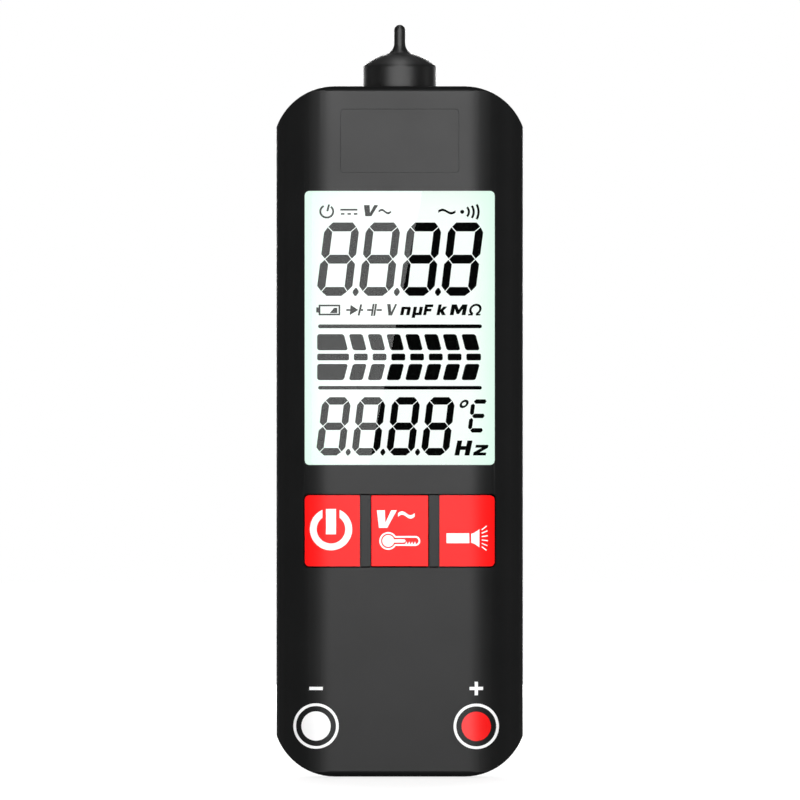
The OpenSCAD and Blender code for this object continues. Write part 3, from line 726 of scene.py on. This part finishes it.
    def lean(self, since: int, slope: float, shift: Pair) -> None:
        """Leans the points drawn since a count and moves them.

        Args:
            since: Number of points that stay as they are.
            slope: Sideways lean a unit of height.
            shift: Move across and upwards.
        """
        self.shape.verts.ensure_lookup_table()
        for point in self.shape.verts[since:]:
            point.co.x += point.co.z * slope + shift[0]
            point.co.z += shift[1]

    def printed(self, surface: Callable[[float], float], step: float = 0.0) -> BMesh:
        """Gives the drawing its thickness and lays it on a surface.

        Args:
            surface: Depth of the surface in millimetres at a place across it.
            step: Longest stretch that stays straight on a curved surface, or 0 on a flat one.

        Returns:
            The shape, in metres.
        """
        shape = self.shape
        bmesh.ops.remove_doubles(shape, verts=shape.verts, dist=JOIN_REACH)
        if step > 0.0:
            low = min(p.co.x for p in shape.verts)
            high = max(p.co.x for p in shape.verts)
            for i in range(1, math.ceil((high - low) / step)):
                self.split(low + i * step)
        for face in shape.faces:
            face.normal_update()
            if face.normal.y > 0.0:
                face.normal_flip()
        raised = bmesh.ops.extrude_face_region(shape, geom=list(shape.faces), use_keep_orig=True)
        top = [g for g in raised["geom"] if isinstance(g, BMVert)]
        bmesh.ops.translate(shape, verts=top, vec=(0.0, -INK, 0.0))
        bmesh.ops.recalc_face_normals(shape, faces=shape.faces)
        for point in shape.verts:
            point.co.y += surface(point.co.x)
        bmesh.ops.scale(shape, verts=shape.verts, vec=(MM, MM, MM))
        return shape


@dataclass
class Skin:
    """Front surface of the body, in millimetres: flat in the middle and round towards the sides."""

    half_depth: float = 9.998
    flat_half: float = 11.5
    side_radius: float = 9.5

    def front(self, x: float) -> float:
        """Gives the Y of the front surface at a place across the body."""
        past = max(abs(x) - self.flat_half, 0.0)
        return self.side_radius - self.half_depth - math.sqrt(self.side_radius**2 - past**2)

    def darken(self, made: Object, dark: Material, picks: Callable[[float, float], bool]) -> None:
        """Gives some faces of a piece a second, dark material, which paints shade on them.

        Args:
            made: The piece.
            dark: The second material, which paints the shade.
            picks: Picks a face by the depth of its centre under the front and its height, in millimetres.
        """
        made.data.materials.append(dark)
        for face in made.data.polygons:
            centre = face.center / MM
            face.material_index = int(picks(centre.y - self.front(centre.x), centre.z))


@dataclass
class Housing:
    """Two case halves, the battery door, their screws, the nose and the parts of the socket end."""

    bench: Bench
    skin: Skin
    edge: float = 0.16
    groove: Pair = (0.2, 0.6)
    row: Pair = (35.0, 48.6)

    def build(self) -> None:
        """Builds the outer pieces, with painted shade on the groove over the bars between the keys: it gets a
        near-black material, as dark as the gaps.
        """
        outer = (
            ("front_case", "front_shell", "case_plastic", Slot.CASE, self.edge),
            ("rear_case", "rear_shell", "case_plastic", Slot.CASE, self.edge),
            ("battery_door", "door_leaf", "case_plastic", Slot.DOOR, self.edge, Body.DOOR),
            ("case_screws", "screw_set", "screw_steel", Slot.SCREW, 0.06),
            ("probe_nose", "nose_cap", "nose_plastic", Slot.NOSE, 0.4),
            ("jack_block", "jack_towers", "black_plastic", Slot.INSULATOR, 0.08),
            ("common_socket", "common_sleeve", "brass", Slot.BRASS, 0.06),
            ("input_socket", "input_sleeve", "brass", Slot.BRASS, 0.06),
            ("torch_lamp", "lamp_dome", "lamp_resin", Slot.LAMP, 0.05),
        )
        made = {row[1]: self.bench.softened(*row) for row in outer}
        # Painted shade: the groove faces within these depths and heights get the near-black material
        self.skin.darken(
            made["front_shell"], self.bench.finishes["painted_groove_shade"],
            lambda depth, z: self.groove[0] < depth < self.groove[1] and self.row[0] < z < self.row[1],
        )


@dataclass
class KeyRow:
    """The three red keys with printed signs, their sides black below a depth as painted shade of the gaps
    round them.
    """

    bench: Bench
    skin: Skin
    edge: float = 0.14
    # Depth in millimetres from which a key's sides are black: painted shade of the gap round the key
    wall_start: float = 0.25
    step: float = 0.6

    def build(self) -> None:
        """Builds the keys, with painted shade on their sides, and their signs."""
        keys = (
            (Body.POWER_KEY, "power_cap", self.power_sign),
            (Body.ALERT_KEY, "alert_cap", self.heat_sign),
            (Body.SELECT_KEY, "select_cap", self.torch_sign),
        )
        # Black plastic on the sides of each key paints the shade of the gap round it
        painted_gap_shade = self.bench.finishes["black_plastic"]
        for body, name, sign in keys:
            cap = self.bench.softened(body.value, name, "key_plastic", Slot.KEY, self.edge, body)
            self.skin.darken(cap, painted_gap_shade, lambda depth, z: depth > self.wall_start)
            art = Artwork()
            sign(art)
            shape = art.printed(self.skin.front, self.step)
            self.bench.piece(f"{body.value}_sign", shape, "white_print", Slot.WHITE, body)

    def power_sign(self, art: Artwork) -> None:
        """Draws the broken ring and bar that mean power.

        Args:
            art: The drawing.
        """
        x, z, gap = -11.68, 42.08, 1.46
        art.arc(x, z, 2.43, 3.6, steps=72)
        art.clear(x - gap, x + gap, z)
        art.bar(x - 0.86, x + 0.86, z - 0.88, z + 3.44)

    def heat_sign(self, art: Artwork) -> None:
        """Draws a thermometer lying on its side, with the volt and wave marks above it.

        Args:
            art: The drawing.
        """
        x, z, inner, outer, turn = -1.95, 40.08, 1.22, 1.52, math.radians(33.0)
        art.disc(x, z, 1.02)
        art.arc(x, z, inner, outer, 33.0, 327.0, 40)
        joint = [(r * math.cos(turn), r * math.sin(turn)) for r in (inner, outer)]
        for side in (-1.0, 1.0):
            line = [*joint, (4.6, 0.85), (4.6, 0.55), (1.15, 0.55)]
            art.polygon([(x + px, z + side * pz) for px, pz in line])
        art.arc(x + 4.6, z, 0.55, 0.85, -90.0, 90.0, 16)
        art.polygon([
            (x + 0.98, z - 0.28), (x + 2.75, z - 0.28), (x + 3.0, z), (x + 2.75, z + 0.28),
            (x + 0.98, z + 0.28),
        ])
        for i in range(4):
            foot = x + 2.86 + 0.48 * i
            art.polygon([(foot, z - 0.555), (foot + 0.4, z - 0.555), (foot + 0.26, z - 0.08)])
        art.mark("V", -3.88, -0.5, 42.3, 45.3, 0.0)
        art.wave(-0.3, 2.55, 44.5, 0.33, 0.6)

    def torch_sign(self, art: Artwork) -> None:
        """Draws a hand lamp with its rays.

        Args:
            art: The drawing.
        """
        x, z = 7.95, 40.54
        art.bar(x, x + 3.88, z - 0.85, z + 0.85)
        art.polygon([
            (x + 4.2, z - 0.76), (x + 4.75, z - 0.95), (x + 5.6, z - 1.54), (x + 5.6, z + 1.54),
            (x + 4.75, z + 0.95), (x + 4.2, z + 0.76),
        ])
        for i in range(6):
            turn = math.radians(38.0 - 15.2 * i)
            along = Vector((math.cos(turn), math.sin(turn)))
            side = Vector((-along.y, along.x)) * 0.1
            start = Vector((x + 6.0, z + 1.42 - 0.57 * i))
            end = start + along * 1.05
            art.polygon([tuple(p) for p in (start - side, end - side, end + side, start + side)])


@dataclass
class SocketMarks:
    """Rings, dots and plain polarity signs printed over the two sockets."""

    bench: Bench
    skin: Skin
    ring: Pair = (3.4, 3.87)
    dot: float = 2.5
    sign_height: float = 15.0
    sign_reach: float = 1.15
    stroke: float = 0.28
    step: float = 0.5

    def build(self) -> None:
        """Builds the prints."""
        places = (
            ("common", -14.23, 8.61, "white_print", Slot.WHITE),
            ("input", 13.02, 8.56, "red_print", Slot.KEY),
        )
        reach, thick, z0 = self.sign_reach, self.stroke, self.sign_height
        for name, x, z, finish, slot in places:
            ring, dot, sign = Artwork(), Artwork(), Artwork()
            ring.arc(x, z, *self.ring, steps=72)
            self._lay(f"{name}_ring", ring)
            dot.disc(x, z, self.dot, 56)
            self._lay(f"{name}_dot", dot, finish, slot)
            sign.bar(x - reach, x + reach, z0 - thick, z0 + thick, 0.08)
            if name == "input":
                for low, high in ((z0 - reach, z0 - thick), (z0 + thick, z0 + reach)):
                    sign.bar(x - thick, x + thick, low, high)
            self._lay(f"{name}_polarity", sign)

    def _lay(self, name: str, art: Artwork, finish: str = "white_print", slot: Slot = Slot.WHITE) -> None:
        """Lays one print on the front."""
        self.bench.piece(name, art.printed(self.skin.front, self.step), finish, slot)


@dataclass(frozen=True)
class Digit:
    """One leaning seven segment digit with its point, in millimetres."""

    width: float
    height: float
    upright: float
    level: float
    cut: float
    gap: float
    point: float
    head: float

    def draw(self, art: Artwork, x: float, z: float, slope: float, point: bool) -> None:
        """Draws the digit.

        Args:
            art: The drawing.
            x: Left end of its foot.
            z: Its foot.
            slope: Sideways lean a unit of height.
            point: True if the point is drawn as well.
        """
        known = len(art.shape.verts)
        w, h, g, c, up, bar = self.width, self.height, self.gap, self.cut, self.upright, self.level
        half = h / 2
        for mirror in (False, True):
            across = c * (self.head if mirror else 1.0)
            foot = [
                (across + g / 2, 0.0), (w - across - g / 2, 0.0), (w - across / 2, c / 2 - g),
                (w - up - g, bar), (up + g, bar), (across / 2, c / 2 - g),
            ]
            side = [
                (0.0, c + g / 2), (across / 2 - g, c / 2), (up, bar + g),
                (up, half - bar / 2 - g), (up / 2, half - g), (0.0, half - c * 0.45 - g),
            ]
            right = [(w - px, pz) for px, pz in reversed(side)]
            for outline in (foot, side, right):
                art.polygon([(px, h - pz) if mirror else (px, pz) for px, pz in outline])
        reach = up / 2 + g
        art.polygon([
            (reach, half), (up + g, half - bar / 2), (w - up - g, half - bar / 2),
            (w - reach, half), (w - up - g, half + bar / 2), (up + g, half + bar / 2),
        ])
        if point:
            mid, p = w + 0.68 * self.point / 0.5, self.point
            art.polygon([
                (mid - p * 0.2, 0.0), (mid + p * 0.3, 0.0), (mid + p, p), (mid + p, 1.6 * p),
                (mid + p * 0.2, 2.7 * p), (mid - p * 0.3, 2.7 * p), (mid - p, 1.7 * p), (mid - p, p),
            ])
        art.lean(known, slope, (x, z))


@dataclass
class DisplayArt:
    """Segments, signs and bars of the display, drawn just in front of its glass."""

    bench: Bench
    plane: float = -6.47
    slope: float = 0.12
    large: Digit = Digit(5.85, 12.49, 1.32, 1.52, 1.64, 0.1, 0.5, 0.72)
    small: Digit = Digit(4.78, 9.93, 1.17, 1.28, 1.33, 0.09, 0.42, 0.8)

    def build(self) -> None:
        """Builds the artwork, one piece for each row, named after its method."""
        rows = (
            self.large_digits, self.small_digits, self.bar_graph, self.rule_lines, self.state_signs,
            self.unit_signs,
        )
        for draw in rows:
            art = Artwork()
            draw(art)
            shape = art.printed(lambda x: self.plane)
            self.bench.piece(draw.__name__, shape, "segment_ink", Slot.BLACK)

    def large_digits(self, art: Artwork) -> None:
        """Draws the four large digits into a drawing."""
        for i in range(4):
            self.large.draw(art, -14.1 + 7.0 * i, 81.75, self.slope, i < 3)

    def small_digits(self, art: Artwork) -> None:
        """Draws the four small digits and the letter segments beside them.

        Args:
            art: The drawing.
        """
        for i in range(4):
            self.small.draw(art, -14.18 + 5.9 * i, 54.6, self.slope, i < 3)
        known = len(art.shape.verts)
        for z in (0.0, 2.45, 4.9):
            art.polygon([
                (0.3, z + 0.38), (0.62, z), (2.1, z), (2.32, z + 0.38), (2.1, z + 0.76), (0.62, z + 0.76),
            ])
        for z in (0.5, 2.95):
            art.polygon([
                (-0.1, z + 0.3), (0.26, z), (0.56, z + 0.3), (0.56, z + 1.7), (0.26, z + 2.0),
                (-0.1, z + 1.7),
            ])
        art.lean(known, self.slope, (11.62, 58.5))

    def bar_graph(self, art: Artwork) -> None:
        """Draws the three rows of blocks.

        Args:
            art: The drawing.
        """
        pitch, soft, wide, tilt, left = 3.19, 0.4, 2.34, 0.7, -13.9
        for low, high, near, far in ((72.5, 75.25, tilt, 0.0), (67.42, 70.18, 0.0, tilt)):
            art.polygon([(left, low), (-9.5 + near, low), (-9.5 + far, high), (left, high)], soft)
            for i in range(7):
                start = -8.66 + pitch * i
                art.polygon([
                    (start + near, low), (start + wide + near, low),
                    (start + wide + far, high), (start + far, high),
                ], soft)
        art.bar(left, -8.62, 70.78, 71.93, 0.28)
        for i in range(7):
            start = -7.8 + pitch * i
            art.bar(start, start + 2.36, 70.78, 71.93, 0.28)

    def rule_lines(self, art: Artwork) -> None:
        """Draws the two lines that part the rows into a drawing."""
        for low, high in ((76.25, 76.9), (65.82, 66.43)):
            art.bar(-13.75, 13.84, low, high, 0.3)

    def state_signs(self, art: Artwork) -> None:
        """Draws the row of signs above the large digits.

        Args:
            art: The drawing.
        """
        art.arc(-12.36, 96.12, 0.88, 1.2, 118.0, 410.0, 40)
        art.polygon([(-12.44, 96.15), (-12.12, 96.15), (-11.84, 97.3), (-12.16, 97.3)])
        art.bar(-10.1, -7.2, 96.26, 96.56)
        for x in (-10.0, -8.89, -7.8):
            art.bar(x, x + 0.6, 95.56, 95.84)
        art.mark("V", -6.1, -3.65, 95.3, 97.2, 0.0)
        art.wave(-3.6, -1.45, 96.1, 0.28, 0.36)
        art.wave(6.55, 9.5, 96.1, 0.28, 0.42)
        art.disc(10.63, 96.05, 0.34, 20)
        for radius, spread in ((0.95, 44.0), (1.72, 33.0), (2.5, 28.0)):
            art.arc(10.63, 96.05, radius, radius + 0.36, -spread, spread, 14)

    def unit_signs(self, art: Artwork) -> None:
        """Draws the row of signs and units under the large digits.

        Args:
            art: The drawing.
        """
        self._cell_sign(art)
        art.polygon([(-8.5, 78.5), (-7.05, 79.36), (-8.35, 80.22)])
        art.bar(-9.1, -8.43, 79.2, 79.5)
        art.polygon([(-7.16, 78.42), (-6.82, 78.42), (-6.38, 80.3), (-6.72, 80.3)])
        art.bar(-6.6, -6.22, 79.2, 79.5)
        for x, bar in ((-5.55, -4.62), (-3.95, -4.2)):
            art.bar(x, x + 0.92, 79.2, 79.5)
            art.polygon([(bar - 0.3, 78.35), (bar + 0.02, 78.35), (bar + 0.34, 80.4), (bar + 0.02, 80.4)])
        marks = (
            ("n", 0.05, 1.95, 78.47, 79.9), ("u", 2.1, 3.98, 78.47, 79.9),
            ("F", 3.98, 5.75, 78.47, 80.3), ("k", 6.24, 8.2, 78.47, 80.3), ("M", 8.5, 11.55, 78.47, 80.3),
            ("H", 9.3, 12.35, 54.6, 57.15), ("z", 12.4, 14.9, 54.6, 56.42),
        )
        art.mark("v", -2.14, -0.43, 78.42, 80.36, 0.0)
        for name, x0, x1, z0, z1 in marks:
            art.mark(name, x0, x1, z0, z1)
        art.omega(12.8, 79.44, 0.98, 0.2)
        known = len(art.shape.verts)
        art.arc(0.0, 0.0, 0.32, 0.72, steps=28)
        art.lean(known, 0.4, (10.95, 63.38))

    def _cell_sign(self, art: Artwork) -> None:
        """Draws a low cell.

        Args:
            art: The drawing.
        """
        x0, x1, z0, z1, line = -13.67, -10.12, 78.44, 80.26, 0.29
        art.bar(x0, x1, z0, z0 + line)
        art.bar(x0, x1, z1 - line, z1)
        art.bar(x0, x0 + line, z0 + line, z1 - line)
        art.bar(x1 - line, x1, z0 + line, z1 - line)
        art.bar(x0 - 0.38, x0, 78.92, 79.8)
        art.polygon([(-11.9, 78.82), (-10.62, 78.82), (-10.62, 79.72), (-11.15, 79.72)])


@dataclass
class InnerParts:
    """CAD nodes that keep their own shape, under the finish that they get."""

    nodes: dict[str, tuple[str, ...]] = field(default_factory=lambda: {
        "lit_glass": ("front_glass",),
        "frame_plastic": ("rear_glass", "display_frame", "light_guide"),
        "strip_rubber": ("contact_strip",),
        "board_lacquer": ("main_board",),
        "black_plastic": ("power_stem", "alert_stem", "select_stem", "buzzer", "measuring_chip"),
        "spring_steel": (
            "key_switches", "bridge_contact", "plus_contact", "minus_contact", "battery_springs",
        ),
        "cell_wrap": ("left_cell", "right_cell"),
        "brass": ("sensing_rod",),
        "thermistor_glaze": ("thermistor",),
        "resistor_glaze": ("input_resistors",),
    })

    def dress(self, made: Finishes) -> None:
        """Gives each node its finish.

        Args:
            made: All finishes of the tester.
        """
        for finish, nodes in self.nodes.items():
            for node in nodes:
                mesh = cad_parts[node].data
                mesh.materials.clear()
                mesh.materials.append(made[finish])
                log.info("%s: finish %s", node, finish)


@dataclass(frozen=True)
class Panel:
    """Soft rectangular light: its centre, the point that it faces, its size, brightness and turn.

    It lights every piece, those in only alone, or all but those in spared.
    """

    name: str
    centre: Triple
    target: Triple
    size: Pair
    level: float
    turn: float = 0.0
    only: tuple[str, ...] = ()
    spared: tuple[str, ...] = ()

    def hang(self) -> None:
        """Makes the light and links it to its pieces."""
        data = bpy.data.lights.new(self.name, "AREA")
        data.shape = "RECTANGLE"
        data.size, data.size_y = self.size
        data.energy = 4.0 * self.level * self.size[0] * self.size[1]
        lamp = bpy.data.objects.new(self.name, data)
        bpy.context.scene.collection.objects.link(lamp)
        towards = Vector(self.target) - Vector(self.centre)
        lamp.location = self.centre
        twist = Quaternion((0.0, 0.0, 1.0), math.radians(self.turn))
        lamp.rotation_euler = (towards.to_track_quat("-Z", "Y") @ twist).to_euler()
        lamp.visible_camera = False
        for state, pieces in (("INCLUDE", self.only), ("EXCLUDE", self.spared)):
            if pieces:
                linked = bpy.data.collections.new(f"{self.name}_pieces")
                for piece in pieces:
                    linked.objects.link(bpy.data.objects[piece])
                for entry in linked.collection_objects:
                    entry.light_linking.link_state = state
                lamp.light_linking.receiver_collection = linked


@dataclass
class Studio:
    """White surroundings, a pale floor, soft lights and a camera with a long lens, in metres."""

    lens: float = 1000.0
    sensor: float = 36.0
    clip: Pair = (0.01, 50.0)
    view_width: float = 0.136
    view_middle: Pair = (0.00005, 0.06404)
    front: float = -0.009998
    floor_radius: float = 4.0
    floor_drop: float = 0.0002
    panels: tuple[Panel, ...] = (
        Panel(
            "key_panel", (0.0, -0.52, 0.2), (0.0, -0.01, 0.075), (0.22, 0.2), 19.5,
            spared=("clear_window", "nose_cap"),
        ),
        Panel("back_panel", (0.0, 1.2, 0.2), BODY_MIDDLE, (0.5, 0.5), 12.0),
        Panel("rear_right_card", (0.9, 0.9, 0.1), BODY_MIDDLE, (0.7, 0.5), 4.5, only=BACK_PIECES),
        Panel("rear_left_card", (-0.9, 0.9, 0.1), BODY_MIDDLE, (0.7, 0.5), 3.0, only=BACK_PIECES),
        Panel("right_panel", (1.2, 0.1, 0.25), BODY_MIDDLE, (0.5, 0.6), 0.55),
        Panel("left_panel", (-1.2, 0.1, 0.25), BODY_MIDDLE, (0.5, 0.6), 0.3),
        Panel(
            "glare_card", (-0.9785, -1.01, 0.2902), (-0.9785, 0.0, 0.2902), (2.0, 2.4), 1.25, -12.32,
            only=("clear_window",),
        ),
        Panel("nose_front_card", (0.0, -0.5, 0.13), NOSE_MIDDLE, (0.74, 0.44), 2.9, only=("nose_cap",)),
        Panel("nose_top_card", (0.0, -0.15, 0.6), (0.0, -0.15, 0.0), (0.14, 0.8), 2.6, only=("nose_cap",)),
        Panel("nose_upper_card", (0.0, -0.4, 0.45), NOSE_MIDDLE, (0.3, 0.35), 2.4, only=("nose_cap",)),
        Panel("nose_back_card", (0.0, 0.7, 0.13), NOSE_MIDDLE, (1.0, 0.2), 1.3, only=("nose_cap",)),
    )

    def build(self, paint: Material) -> None:
        """Builds the camera, the world, the floor and the lights.

        Args:
            paint: Material of the floor.
        """
        self._camera()
        self._world()
        self._floor(paint)
        for panel in self.panels:
            panel.hang()
        bpy.context.scene.view_settings.view_transform = "Standard"

    def _camera(self) -> None:
        """Puts a level camera before the front, far enough for the photograph's frame."""
        data = bpy.data.cameras.new("studio_camera")
        data.lens, data.sensor_width = self.lens, self.sensor
        data.clip_start, data.clip_end = self.clip
        camera = bpy.data.objects.new("studio_camera", data)
        bpy.context.scene.collection.objects.link(camera)
        distance = self.view_width * self.lens / self.sensor
        camera.location = (self.view_middle[0], self.front - distance, self.view_middle[1])
        camera.rotation_euler = (math.pi / 2, 0.0, 0.0)
        bpy.context.scene.camera = camera

    def _world(self) -> None:
        """Makes surroundings that the camera sees white and that light the object dimly."""
        world = bpy.data.worlds.new("studio_world")
        world.use_nodes = True
        bpy.context.scene.world = world
        bench = NodeBench(world.node_tree)
        side = bench.add("SeparateXYZ")
        bench.feed(side, Vector=bench.add("TexCoord").outputs["Generated"])
        behind = bench.make(
            "MapRange", SMOOTH, Value=side.outputs[1], From_Min=-0.2, From_Max=0.6,
            To_Min=0.02, To_Max=0.12,
        )
        level = bench.make("Mix", {"data_type": "FLOAT"}, i0=bench.plain_sight(), i2=behind, i3=1.0)
        bench.feed(world.node_tree.nodes["Background"], Color=WHITE, Strength=level)

    def _floor(self, paint: Material) -> None:
        """Lays the floor just under the object.

        Args:
            paint: Its material.
        """
        shape = bmesh.new()
        bmesh.ops.create_circle(shape, cap_ends=True, segments=64, radius=self.floor_radius)
        bmesh.ops.translate(shape, verts=shape.verts, vec=(0.0, 0.0, -self.floor_drop))
        mesh = bpy.data.meshes.new("studio_floor")
        shape.to_mesh(mesh)
        shape.free()
        mesh.materials.append(paint)
        floor = bpy.data.objects.new("studio_floor", mesh)
        bpy.context.scene.collection.objects.link(floor)


def main() -> None:
    """Builds the dressed tester piece by piece, and its studio."""
    logging.basicConfig(level=logging.INFO, format="%(message)s")
    finishes = Finishes()
    bench = Bench(finishes)
    skin = Skin()
    InnerParts().dress(finishes)
    Housing(bench, skin).build()
    bench.softened("window_pane", "clear_window", "window_plastic", Slot.PANE, 0.06)
    DisplayArt(bench).build()
    KeyRow(bench, skin).build()
    SocketMarks(bench, skin).build()
    Studio().build(finishes["floor_paint"])


if __name__ == "__main__":
    main()
